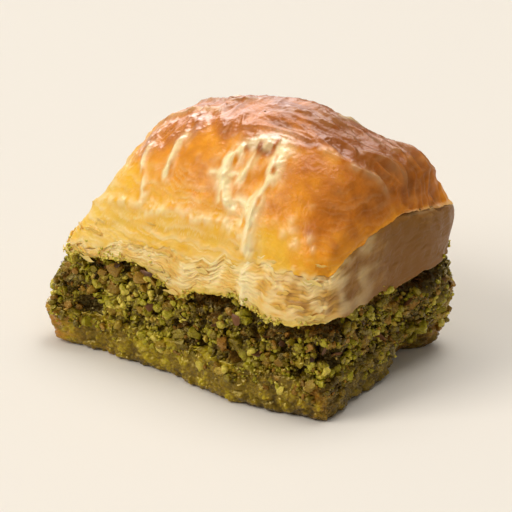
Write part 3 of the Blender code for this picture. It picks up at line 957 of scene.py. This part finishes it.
def nut_variant(name, dice, subdivisions, cuts):
    """One chopped piece of about unit radius, roughened and cut by a few planes."""
    mesh = bmesh.new()
    bmesh.ops.create_icosphere(mesh, subdivisions=subdivisions, radius=1.0)
    offset = Vector([dice.uniform(0.0, 50.0) for _ in range(3)])
    stretch = Vector((dice.uniform(1.0, 1.5), 1.0, dice.uniform(0.65, 1.0)))
    for vertex in mesh.verts:
        rough = 0.55 * noise.noise(vertex.co * 1.4 + offset) + 0.20 * noise.noise(vertex.co * 3.5 + offset)
        vertex.co = vertex.co * (1.0 + rough) * stretch
    for _ in range(cuts):
        normal = Vector([dice.gauss(0.0, 1.0) for _ in range(3)]).normalized()
        geometry = mesh.verts[:] + mesh.edges[:] + mesh.faces[:]
        cut = bmesh.ops.bisect_plane(
            mesh, geom=geometry, plane_co=normal * dice.uniform(0.35, 0.75), plane_no=normal, clear_outer=True
        )
        rim = [item for item in cut["geom_cut"] if isinstance(item, bmesh.types.BMEdge)]
        bmesh.ops.holes_fill(mesh, edges=rim, sides=0)
    bmesh.ops.recalc_face_normals(mesh, faces=mesh.faces)
    return stamp_source(name, mesh)


def random_turn(dice):
    """A random rotation as a 4 by 4 matrix."""
    axis = Vector([dice.gauss(0.0, 1.0) for _ in range(3)]).normalized()
    return Matrix.Rotation(dice.uniform(0.0, math.tau), 4, axis)


def scatter_nuts(mesh, variants, count, sizes, shares, crowding, seed, taken):
    """Stamps nut pieces over the filling's sides, apart from each other and not in the hollows."""
    dice = random.Random(seed)
    table = np.random.default_rng(seed)
    tries = 7 * count
    a, b = on_ring(table.random(tries))
    share = table.uniform(*shares, tries)
    spots, away = filling_side(a, b, share), outward(a, b)
    size = sizes[0] * (sizes[1] / sizes[0]) ** (table.random(tries) ** 1.5)
    bare = cavity(spots) + hollow_share(a, b) * smooth_step((share - 0.60) / 0.2) > 0.55
    bare |= table.random(tries) < smooth_step((0.02 - share) / 0.40)
    # Painted shade: pieces near the front right corner, under the overhang, are made darker.
    patch = wave(spots, 4.2 * MM, 75.0) + 0.5 * wave(spots, 1.9 * MM, 77.0) - 0.4 * hill(spots, (19.0, -17.0, 12.0), 6.5)
    placed = 0
    for index in np.flatnonzero(~bare):
        if placed >= count:
            return
        if crowding and taken:
            others = np.array(taken)
            gaps = np.linalg.norm(others[:, :3] - spots[index], axis=1)
            if (gaps < crowding * (size[index] + others[:, 3])).any():
                continue
        taken.append((*spots[index], size[index]))
        placed += 1
        lift = dice.uniform(-0.40, 0.35) * size[index] + dice.uniform(-0.1, 0.25) * MM
        centre = Vector(spots[index]) + Vector((*away[index], 0.0)) * lift
        scale = Matrix.Diagonal((size[index],) * 3 + (1.0,))
        tone = min(max(0.47 + 0.55 * patch[index] + dice.gauss(0.0, 0.18), 0.02), 0.90)
        mask = dice.uniform(0.3, 0.9) if dice.random() < 0.24 else 0.0
        stamp(mesh, dice.choice(variants), Matrix.Translation(centre) @ random_turn(dice) @ scale, tone, mask)


def scatter_fringe(mesh, variants, count, sizes, seed):
    """Stamps pale crumbs that cling to the top pastry's lower edge."""
    dice = random.Random(seed)
    table = np.random.default_rng(seed)
    a, b = on_ring(table.random(2 * count))
    height = hem_height(a, b) + MM * np.minimum(table.gamma(1.0, 0.8, len(a)), 2.4) * np.where(a < -0.1, 0.9, 0.45)
    spots = surface(a, b, 1.0 + (rim_height(a, b) - height) / WALL_UNIT)
    chosen = wave(spots, 3.0 * MM, 78.0) + np.where((a > 0.9) & (b > -0.8), -0.3, 0.0) > table.uniform(-0.3, 0.4, len(a))
    for spot, way in zip(spots[chosen][:count], outward(a, b)[chosen]):
        size = dice.uniform(*sizes) * 0.7
        place = Matrix.Translation(Vector(spot) + Vector((*way, 0.0)) * 0.15 * MM)
        scale = Matrix.Diagonal((size,) * 3 + (1.0,))
        stamp(mesh, dice.choice(variants), place @ random_turn(dice) @ scale, dice.uniform(0.7, 1.0))


# --------------------------------------------------------------------------------------------------- base


def base_shape(rows):
    """The shape of the soaked base with faint leaves and soft lumps, for wrap_grid."""

    def shape(turn, row):
        a, b = on_ring(turn)
        flat = plan(a, b)
        share = np.clip((row - 1) / (rows - 2), 0.0, 1.0)
        height = BASE_HEIGHT * share
        points = lift_to(flat, height)
        stand = EDGE_WAVE * wave(lift_to(flat, 0.0), EDGE_WAVE_SIZE, 11.0) + bulge(points)
        big, number = pebbles(points * (1.0, 1.0, 1.2), 2.6 * MM, 81.0)
        small, _ = pebbles(points, 0.8 * MM, 82.0)
        level = points[:, 2] + 0.35 * MM * wave(points, 3.0 * MM, 83.0)
        leaves = np.sin(level / (0.75 * MM) * math.tau) * smooth_step(wave(points, 5.0 * MM, 88.0) + 0.2)
        tiny, _ = pebbles(points, 0.42 * MM, 89.0)
        smear = wave(points * (1.0, 1.0, 0.35), 1.1 * MM, 85.0)
        lump = 0.48 * (smooth_step(big * 2.0) - 0.5) + 0.22 * (smooth_step(small * 2.0) - 0.5)
        lump += 0.34 * wave(points, 3.4 * MM, 84.0) + 0.03 * leaves
        lump += 0.06 * smear + 0.08 * (smooth_step(tiny * 1.8) - 0.5)
        foot = (0.55 + 0.5 * wave(points, 2.6 * MM, 91.0)) * np.exp(-share / 0.12) + 0.4 * np.exp(-share / 0.04)
        ends = np.where(row == 0, 3.0 * MM, np.where(row == rows, 4.0 * MM, 0.0))
        points[:, :2] += outward(a, b) * (stand + (lump - foot) * MM - ends)[:, None]
        # Painted shade: the tone follows the lumps, so seams and hollows come out darker, and it darkens towards the
        # right side.
        tone = 0.56 + 0.26 * wave(points, 3.2 * MM, 86.0) + 0.22 * (number - 0.5) + 0.30 * lump + 0.03 * leaves
        tone += 0.22 * smear + 0.16 * (tiny - 0.3) + 0.12 * (small - 0.3)
        tone -= 0.34 * np.exp(-share / 0.14) + 0.30 * smooth_step((flat[:, 0] / MM - 1.0) / 16.0)
        amber = 1.5 * hill(points, (-25.5, -17.5, 4.0), 3.8) + 0.5 * hill(points, (23.5, -16.5, 3.0), 2.4)
        amber += 0.6 * hill(points, (25.5, 16.0, 3.5), 4.0) + 0.6 * hill(points, (-24.0, 15.0, 3.0), 4.0)
        amber *= smooth_step(0.6 + wave(points, 1.3 * MM, 90.0))
        amber += 0.4 * smooth_step((wave(points, 4.5 * MM, 87.0) - 0.45) / 0.2)
        return points, {"tone": tone, "mask": np.clip(amber, 0.0, 0.85)}

    return shape


# ---------------------------------------------------------------------------------------------- settings


def colour_setting(name, description, value):
    """A colour property."""
    return FloatVectorProperty(name=name, description=description, default=value, size=3, subtype="COLOR", max=1.0)


class BaklavaCrustSettings(bpy.types.PropertyGroup):
    """Sizes and colours of the puffed top pastry."""

    fold_depth: FloatProperty(name="Fold depth", description="Height of the creases, 1 as modelled", default=1.0)
    wrinkle_depth: FloatProperty(name="Wrinkle depth", description="Depth of the fine wrinkles", default=1.0)
    blister_count: IntProperty(name="Blisters", description="Small bubbles in the sheet", default=30)
    leaf_count: IntProperty(name="Leaves", description="Leaf edges in the cut sides", default=15)
    flake_count: IntProperty(name="Flakes", description="Loose slivers of leaf on the cut sides", default=90)
    cream: colour_setting("Cream", "Palest golden leaf", (0.84, 0.53, 0.085))
    golden: colour_setting("Golden", "Lightly browned leaf", (0.88, 0.46, 0.030))
    orange: colour_setting("Orange", "Browned leaf", (0.83, 0.31, 0.016))
    russet: colour_setting("Russet", "Well browned leaf", (0.55, 0.165, 0.012))
    brown: colour_setting("Brown", "Most browned leaf", (0.30, 0.082, 0.008))
    pale: colour_setting("Pale", "Crests of the creases", (1.0, 0.80, 0.42))


class BaklavaFillingSettings(bpy.types.PropertyGroup):
    """Sizes and colours of the chopped pistachios."""

    large_count: IntProperty(name="Large pieces", description="Pieces of 1.6 to 2.8 mm", default=90)
    medium_count: IntProperty(name="Medium pieces", description="Pieces of 0.8 to 1.7 mm", default=950)
    crumb_count: IntProperty(name="Crumbs", description="Pieces under 0.8 mm", default=4350)
    skin_count: IntProperty(name="Skins", description="Flakes of purple-brown skin", default=60)
    # Painted shade: the darkest stop colours the crevices, pockets and hollows of the filling's core.
    shade: colour_setting("Shade", "Darkest syrupy crumb", (0.038, 0.016, 0.001))
    olive: colour_setting("Olive", "Usual nut colour", (0.20, 0.142, 0.005))
    leaf_green: colour_setting("Green", "Fresh yellow-green", (0.38, 0.34, 0.016))
    yellow: colour_setting("Yellow", "Palest yellow-green", (0.80, 0.62, 0.12))
    amber: colour_setting("Amber", "Candied orange-brown", (0.30, 0.125, 0.016))
    skin: colour_setting("Skin", "Papery skin", (0.12, 0.048, 0.016))


class BaklavaBaseSettings(bpy.types.PropertyGroup):
    """Colours of the soaked base pastry."""

    # Partly painted shade: this darkest stop also colours the base's seams and hollows.
    dark: colour_setting("Dark", "Darkest soaked leaf", (0.060, 0.030, 0.001))
    soaked: colour_setting("Soaked", "Usual soaked leaf", (0.235, 0.150, 0.003))
    yellow: colour_setting("Yellow", "Yellow-green soaked leaf", (0.48, 0.37, 0.009))
    pale: colour_setting("Pale", "Palest soaked leaf", (0.62, 0.47, 0.12))
    amber: colour_setting("Amber", "Baked corners", (0.42, 0.16, 0.015))


class BaklavaStageSettings(bpy.types.PropertyGroup):
    """Camera, lights and floor."""

    azimuth: FloatProperty(
        name="Azimuth", description="Camera's turn about the piece", default=math.radians(35.2), subtype="ANGLE"
    )
    elevation: FloatProperty(
        name="Elevation", description="Camera's height above the horizon", default=math.radians(26.9), subtype="ANGLE"
    )
    distance: FloatProperty(
        name="Distance", description="From the camera to the piece", default=0.624, subtype="DISTANCE"
    )
    width: FloatProperty(
        name="Width", description="Width of the view at the piece", default=0.0792, subtype="DISTANCE"
    )
    floor: colour_setting("Floor", "Pale floor", (0.86, 0.81, 0.735))


# --------------------------------------------------------------------------------------------- operators


def nut_material(settings):
    """Chopped pistachio from dark to pale, some of it candied; the darkest end is painted shade in crevices and
    hollows.
    """
    stops = ((0.0, settings.shade), (0.38, settings.olive), (0.68, settings.leaf_green), (1.0, settings.yellow))
    grain = (1700.0, 5200.0, 0.18 * MM, (0.14, 0.40))
    return stained_material("chopped pistachio", stops, settings.amber, (1500.0, 1.0), grain, ((0.12, 0.12), 0.14, 0.9, 0.25, (0.9, 0.7, 0.1)), (1.0, 0.78, 0.22))


class BAKLAVA_OT_crust(bpy.types.Operator):
    """Builds the browned top sheet with its creases, wrinkles and blisters"""

    bl_idname = "baklava.crust"
    bl_label = "Top Crust"

    def execute(self, context):
        settings = context.scene.baklava_crust
        stops = (
            (0.0, settings.cream),
            (0.28, settings.golden),
            (0.55, settings.orange),
            (0.78, settings.russet),
            (1.0, settings.brown),
        )
        grain = (900.0, 3600.0, 0.08 * MM, (0.30, 0.48))
        moist = ((0.14, 1.0), 0.24, 0.05, 0.18, (1.0, 0.45, 0.12))
        material = stained_material("browned crust", stops, settings.pale, (500.0, 0.30), grain, moist)
        finish_piece("top_crust", crust_mesh(settings), material, "top_pastry")
        return {"FINISHED"}


class BAKLAVA_OT_top_leaves(bpy.types.Operator):
    """Builds the cut edges of the upper leaves and the loose flakes on them"""

    bl_idname = "baklava.top_leaves"
    bl_label = "Top Leaves"

    def execute(self, context):
        settings = context.scene.baklava_crust
        stops = (
            (0.0, (0.66, 0.45, 0.035)),
            (0.30, (0.88, 0.62, 0.20)),
            (0.60, (0.84, 0.48, 0.09)),
            (0.84, (0.46, 0.235, 0.060)),
            (1.0, (0.25, 0.108, 0.020)),
        )
        grain = (1600.0, 5200.0, 0.07 * MM, (0.32, 0.55))
        moist = ((0.18, 0.18), 0.24, 0.10, 0.25, (1.2, 0.6, 0.2))
        material = stained_material("leaf edges", stops, settings.pale, (900.0, 0.22), grain, moist)
        rows, shape = top_wall(settings.leaf_count)
        finish_piece("top_leaf_edges", wrap_grid("leaves", 1000, rows, shape), material, "top_pastry")
        self.build_flakes(settings, material)
        return {"FINISHED"}

    def build_flakes(self, settings, material):
        """Loose bits of leaf that stand off the cut sides."""
        dice = random.Random(61)
        table = np.random.default_rng(61)
        variants = [flake_variant(f"flake_{index}", dice) for index in range(10)]
        mesh = stamp_mesh()
        a, b = on_ring(table.random(settings.flake_count))
        keep = ~((a > 0.95) & (b > -0.95))
        a, b = a[keep], b[keep]
        hem = 1.0 + (rim_height(a, b) - hem_height(a, b)) / WALL_UNIT
        spots = surface(a, b, blend(hem, 0.97, table.random(len(a)) ** 1.2))
        for spot, way in zip(spots, outward(a, b)):
            away = Vector((*way, 0.35)).normalized()
            size = dice.uniform(1.5, 4.0) * MM
            turned = facing(away, Vector((0.0, 0.0, 1.0)), dice.gauss(0.0, 0.15), dice.uniform(0.0, 0.35))
            place = Matrix.Translation(Vector(spot) + away * dice.uniform(0.05, 0.20) * MM)
            stamp(mesh, dice.choice(variants), place @ turned @ Matrix.Diagonal((size, size, size, 1.0)), dice.uniform(0.3, 0.6))
        for variant in variants:
            bpy.data.meshes.remove(variant)
        finish_piece("loose_flakes", mesh, material, "top_pastry")


class BAKLAVA_OT_filling(bpy.types.Operator):
    """Builds the bed of chopped pistachios: a rough core, nut pieces, crumbs and skins"""

    bl_idname = "baklava.filling"
    bl_label = "Filling"

    def execute(self, context):
        settings = context.scene.baklava_filling
        material = nut_material(settings)
        rows = 62
        core = wrap_grid("filling", 900, rows, filling_shape(rows))
        finish_piece("filling_core", core, material, "pistachio_filling")
        taken = []
        self.build_pieces("nuts_large", material, settings.large_count, (0.8 * MM, 1.4 * MM), 3, 5, 0.60, 21, taken)
        self.build_pieces("nuts_medium", material, settings.medium_count, (0.42 * MM, 0.85 * MM), 2, 4, 0.48, 22, taken)
        self.build_pieces("nut_crumbs", material, settings.crumb_count, (0.16 * MM, 0.42 * MM), 1, 2, 0.0, 23, [])
        self.build_skins(settings)
        return {"FINISHED"}

    def build_pieces(self, name, material, count, sizes, subdivisions, cuts, crowding, seed, taken):
        """One kind of nut piece, joined into one mesh."""
        dice = random.Random(seed)
        variants = [nut_variant(f"{name}_{index}", dice, subdivisions, cuts) for index in range(16)]
        mesh = stamp_mesh()
        scatter_nuts(mesh, variants, count, sizes, (-0.75, 0.98), crowding, seed + 50, taken)
        if not crowding:
            scatter_fringe(mesh, variants, count // 8, sizes, seed + 60)
        for variant in variants:
            bpy.data.meshes.remove(variant)
        finish_piece(name, mesh, material, "pistachio_filling", sharp=60.0)

    def build_skins(self, settings):
        """Flakes of papery skin among the nuts."""
        stops = ((0.2, [0.35 * part for part in settings.skin]), (0.8, [1.5 * part for part in settings.skin]))
        grain = (1400.0, 4800.0, 0.08 * MM, (0.35, 0.6))
        moist = ((0.25, 0.25), 0.25, 0.10, 0.0, (1.0, 0.3, 0.2))
        material = stained_material("pistachio skin", stops, settings.skin, (900.0, 0.9), grain, moist)
        dice = random.Random(31)
        table = np.random.default_rng(31)
        variants = [nut_variant(f"skin_{index}", dice, 2, 2) for index in range(6)]
        mesh = stamp_mesh()
        a, b = on_ring(table.random(settings.skin_count))
        spots = filling_side(a, b, table.uniform(0.05, 1.0, len(a)) ** 0.7)
        for spot, way in zip(spots, outward(a, b)):
            size = dice.uniform(0.35, 0.9) * MM
            place = Matrix.Translation(Vector(spot) + Vector((*way, 0.0)) * dice.uniform(0.1, 0.7) * MM)
            flat = Matrix.Diagonal((size, size, 0.28 * size, 1.0))
            stamp(mesh, dice.choice(variants), place @ random_turn(dice) @ flat, dice.uniform(0.2, 0.7))
        for spot, width, height, tone in SHOWN_SKINS:
            flat = Matrix.Diagonal((width * MM / 2, 0.25 * MM, height * MM / 2, 1.0))
            stamp(mesh, variants[0], Matrix.Translation(Vector(spot) * MM) @ flat, tone)
        for variant in variants:
            bpy.data.meshes.remove(variant)
        finish_piece("nut_skins", mesh, material, "pistachio_filling", sharp=40.0)


class BAKLAVA_OT_base(bpy.types.Operator):
    """Builds the syrup-soaked base"""

    bl_idname = "baklava.base"
    bl_label = "Base"

    def execute(self, context):
        settings = context.scene.baklava_base
        stops = ((0.0, settings.dark), (0.42, settings.soaked), (0.75, settings.yellow), (1.0, settings.pale))
        grain = (1300.0, 4600.0, 0.12 * MM, (0.14, 0.40))
        moist = ((0.10, 0.10), 0.16, 0.9, 0.25, (1.0, 0.7, 0.15))
        material = stained_material("soaked leaves", stops, settings.amber, (1100.0, 0.85), grain, moist, (1.0, 0.78, 0.22))
        rows = 56
        finish_piece("base_leaves", wrap_grid("base", 900, rows, base_shape(rows)), material, "base_pastry")
        return {"FINISHED"}


class BAKLAVA_OT_stage(bpy.types.Operator):
    """Builds the floor, the lights, the world and the camera"""

    bl_idname = "baklava.stage"
    bl_label = "Stage"

    def execute(self, context):
        settings = context.scene.baklava_stage
        self.build_floor(context, settings)
        self.add_light(context, "key_light", (-1.00, -1.35, 1.50), 1.00, 25.0, (1.0, 0.96, 0.90), "both")
        self.add_light(context, "top_light", (-0.15, 0.10, 1.50), 1.20, 7.8, (1.0, 0.98, 0.95), "diffuse")
        self.add_light(context, "rear_light", (0.12, 0.45, 1.35), 0.80, 5.2, (1.0, 0.98, 0.95), "diffuse")
        self.add_light(context, "back_panel", (-0.34, 0.47, 0.74), 0.80, 18.5, (1.0, 0.97, 0.97), "mirrored")
        self.add_light(context, "side_panel", (-0.66, 0.66, 0.24), 0.50, 4.2, (1.0, 0.97, 0.97), "mirrored")
        self.add_light(context, "glint_light", (-0.50, -0.62, 0.80), 0.16, 1.4, (1.0, 0.97, 0.92), "mirrored")
        self.build_world(context)
        self.build_camera(context, settings)
        context.scene.view_settings.view_transform = "Standard"
        return {"FINISHED"}

    def build_floor(self, context, settings):
        """A wide pale floor."""
        mesh = bmesh.new()
        bmesh.ops.create_grid(mesh, x_segments=1, y_segments=1, size=3.0)
        data = bpy.data.meshes.new("floor")
        mesh.to_mesh(data)
        mesh.free()
        material, shader = new_material("pale floor")
        shader.inputs["Base Color"].default_value = (*settings.floor, 1.0)
        shader.inputs["Roughness"].default_value = 0.9
        shader.inputs["Specular IOR Level"].default_value = 0.0
        data.materials.append(material)
        floor = bpy.data.objects.new("floor", data)
        floor.location.z = CAD_BOX[0].z
        context.scene.collection.objects.link(floor)

    def add_light(self, context, name, place, size, power, colour, use):
        """A square soft light aimed at the piece. Its use is diffuse, mirrored in the syrup, or both."""
        data = bpy.data.lights.new(name, "AREA")
        data.size = size
        data.energy = power
        data.color = colour
        light = bpy.data.objects.new(name, data)
        light.location = place
        light.rotation_euler = Vector(place).to_track_quat("Z", "Y").to_euler()
        light.visible_glossy = use != "diffuse"
        light.visible_diffuse = use != "mirrored"
        context.scene.collection.objects.link(light)

    def build_world(self, context):
        """An even pale surrounding light."""
        world = bpy.data.worlds.new("surround")
        world.use_nodes = True
        background = world.node_tree.nodes["Background"]
        background.inputs["Color"].default_value = (1.0, 0.97, 0.93, 1.0)
        background.inputs["Strength"].default_value = 0.26
        context.scene.world = world

    def build_camera(self, context, settings):
        """A long lens at the stated angle, aimed a little above the middle of the base."""
        turn, rise = settings.azimuth, settings.elevation
        back = Vector((math.sin(turn) * math.cos(rise), -math.cos(turn) * math.cos(rise), math.sin(rise)))
        right = Vector((math.cos(turn), math.sin(turn), 0.0))
        up = back.cross(right)
        target = right * 0.46 * MM + up * 13.2 * MM
        data = bpy.data.cameras.new("camera")
        data.lens = data.sensor_width * settings.distance / settings.width
        data.clip_start = 0.01
        camera = bpy.data.objects.new("camera", data)
        turned = Matrix((right, up, back)).transposed().to_4x4()
        camera.matrix_world = Matrix.Translation(target + back * settings.distance) @ turned
        context.scene.collection.objects.link(camera)
        context.scene.camera = camera


class BAKLAVA_PT_sidebar(bpy.types.Panel):
    """Lists the sizes and colours, and the steps that build the piece"""

    bl_idname = "BAKLAVA_PT_sidebar"
    bl_label = "Baklava Piece"
    bl_space_type = "VIEW_3D"
    bl_region_type = "UI"
    bl_category = "Baklava"

    def draw(self, context):
        for group in SETTINGS:
            for name in SETTINGS[group].__annotations__:
                self.layout.prop(getattr(context.scene, group), name)
        for operator in OPERATORS:
            self.layout.operator(operator.bl_idname)


SETTINGS = {
    "baklava_crust": BaklavaCrustSettings,
    "baklava_filling": BaklavaFillingSettings,
    "baklava_base": BaklavaBaseSettings,
    "baklava_stage": BaklavaStageSettings,
}
OPERATORS = (BAKLAVA_OT_crust, BAKLAVA_OT_top_leaves, BAKLAVA_OT_filling, BAKLAVA_OT_base, BAKLAVA_OT_stage)


def register():
    """Registers the settings, the operators and the panel."""
    for name, group in SETTINGS.items():
        bpy.utils.register_class(group)
        setattr(bpy.types.Scene, name, PointerProperty(type=group))
    for operator in OPERATORS:
        bpy.utils.register_class(operator)
    bpy.utils.register_class(BAKLAVA_PT_sidebar)


def unregister():
    """Removes them again."""
    bpy.utils.unregister_class(BAKLAVA_PT_sidebar)
    for operator in reversed(OPERATORS):
        bpy.utils.unregister_class(operator)
    for name, group in SETTINGS.items():
        delattr(bpy.types.Scene, name)
        bpy.utils.unregister_class(group)


def main():
    """Builds every piece and the stage."""
    register()
    bpy.ops.baklava.crust()
    bpy.ops.baklava.top_leaves()
    bpy.ops.baklava.filling()
    bpy.ops.baklava.base()
    bpy.ops.baklava.stage()


if __name__ == "__main__":
    main()
